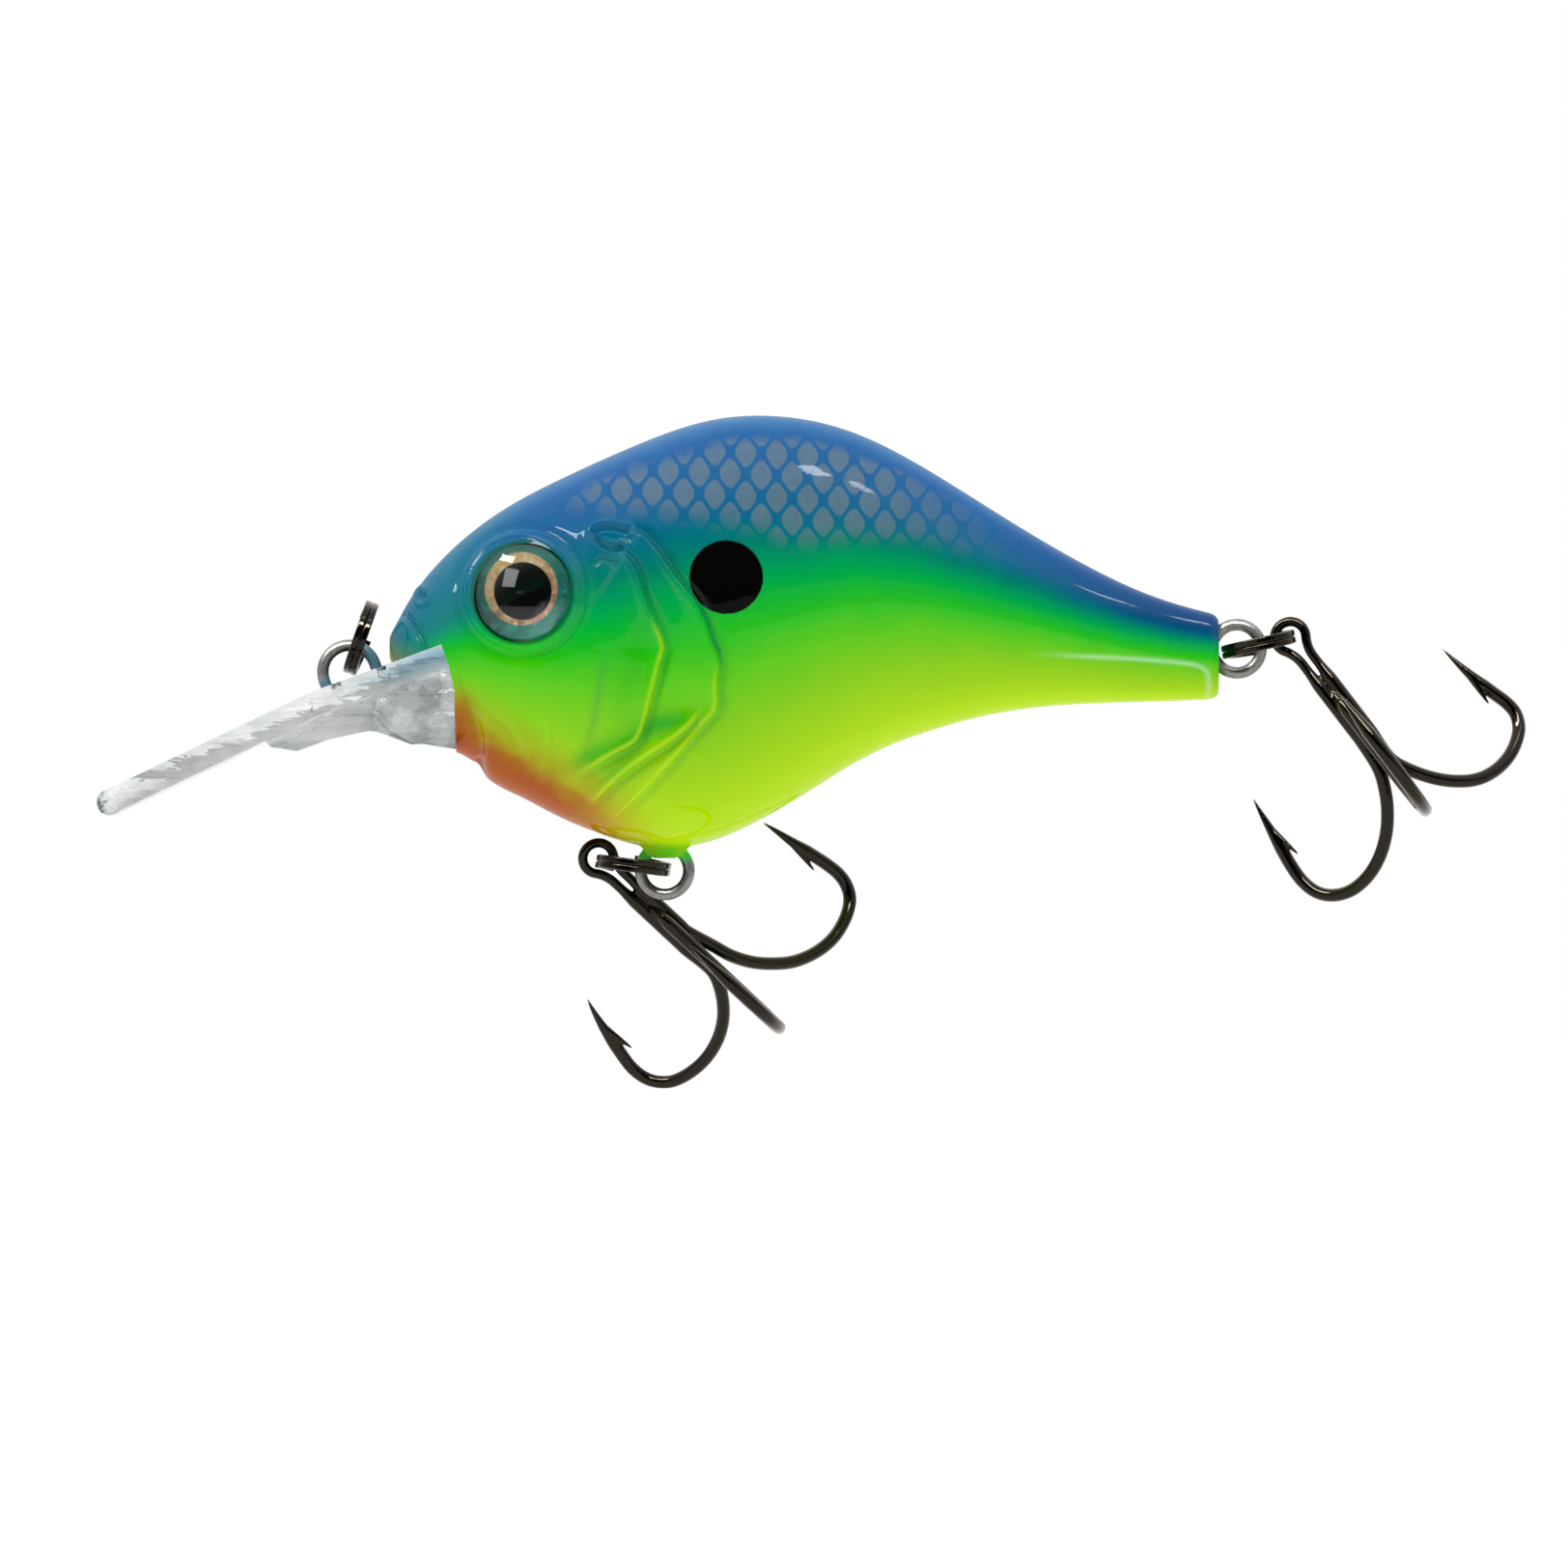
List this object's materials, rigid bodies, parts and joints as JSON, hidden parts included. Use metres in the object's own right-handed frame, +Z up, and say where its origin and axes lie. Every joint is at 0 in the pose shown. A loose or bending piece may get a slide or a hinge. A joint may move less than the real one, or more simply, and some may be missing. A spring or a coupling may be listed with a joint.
{
  "type": "crankbait lure",
  "caption": "Deep-diving crankbait: hollow two-half fish body with a clear lip, line tie, split rings, treble hooks and loose rattles.",
  "frame": {"origin": "centre of the line-tie eye on the middle plane of the lure", "axes": "+Z up as the lure swims, +X from head to tail, +Y towards the lure's right side; Y = 0 is the joint plane of the body halves"},
  "size_m": [0.1209, 0.027, 0.0565],
  "materials": {
    "body_paint": "gloss clear coat over sprayed blue back, green flank, chartreuse belly and orange throat",
    "clear_lip": "clear moulded polycarbonate",
    "hanger_wire": "satin stainless wire",
    "dark_nickel": "black nickel plating",
    "eye_foil": "copper foil with a black printed pupil",
    "eye_lens": "clear domed resin",
    "steel_ball": "bright steel"
  },
  "bodies": {
    "lure_body": {"left_body_shell": "body_paint", "right_body_shell": "body_paint", "diving_lip": "clear_lip", "line_tie_wire": "hanger_wire", "belly_hanger_wire": "hanger_wire", "tail_hanger_wire": "hanger_wire", "left_eye_foil": "eye_foil", "left_eye_lens": "eye_lens", "right_eye_foil": "eye_foil", "right_eye_lens": "eye_lens", "belly_ballast_ball": "steel_ball"},
    "line_ring": {"line_tie_split_ring": "dark_nickel"},
    "belly_ring": {"belly_split_ring": "dark_nickel"},
    "belly_treble": {"belly_treble_double": "dark_nickel", "belly_treble_single": "dark_nickel"},
    "tail_ring": {"tail_split_ring": "dark_nickel"},
    "tail_treble": {"tail_treble_double": "dark_nickel", "tail_treble_single": "dark_nickel"},
    "head_rattle": {"head_rattle_ball": "steel_ball"},
    "shoulder_rattle": {"shoulder_rattle_ball": "steel_ball"},
    "tail_rattle": {"tail_rattle_ball": "steel_ball"}
  },
  "joints": [
    {"name": "line_ring_swing", "type": "hinge", "parent": "lure_body", "child": "line_ring", "pos_m": [-0.00005, 0, 0.00014], "axis": [0, 1, 0], "range_deg": [-130, 18]},
    {"name": "belly_ring_swing", "type": "hinge", "parent": "lure_body", "child": "belly_ring", "pos_m": [0.02676, 0, -0.01684], "axis": [0, 1, 0], "range_deg": [-46, 1]},
    {"name": "belly_treble_swing", "type": "hinge", "parent": "belly_ring", "child": "belly_treble", "pos_m": [0.02116, 0, -0.01587], "axis": [0, 1, 0], "range_deg": [-3, 144]},
    {"name": "tail_ring_swing", "type": "hinge", "parent": "lure_body", "child": "tail_ring", "pos_m": [0.07533, 0, 0.00197], "axis": [0, 1, 0], "range_deg": [-88, 60]},
    {"name": "tail_treble_swing", "type": "hinge", "parent": "tail_ring", "child": "tail_treble", "pos_m": [0.07984, 0, 0.00302], "axis": [0, 1, 0], "range_deg": [-78, 28]},
    {"name": "head_rattle_slide", "type": "slide", "parent": "lure_body", "child": "head_rattle", "axis": [0, 1, 0], "range_m": [-0.0034, 0.0034]},
    {"name": "shoulder_rattle_slide", "type": "slide", "parent": "lure_body", "child": "shoulder_rattle", "axis": [1, 0, 0], "range_m": [-0.004, 0.004]},
    {"name": "tail_rattle_slide", "type": "slide", "parent": "lure_body", "child": "tail_rattle", "axis": [1, 0, 0], "range_m": [-0.003, 0.003]}
  ]
}
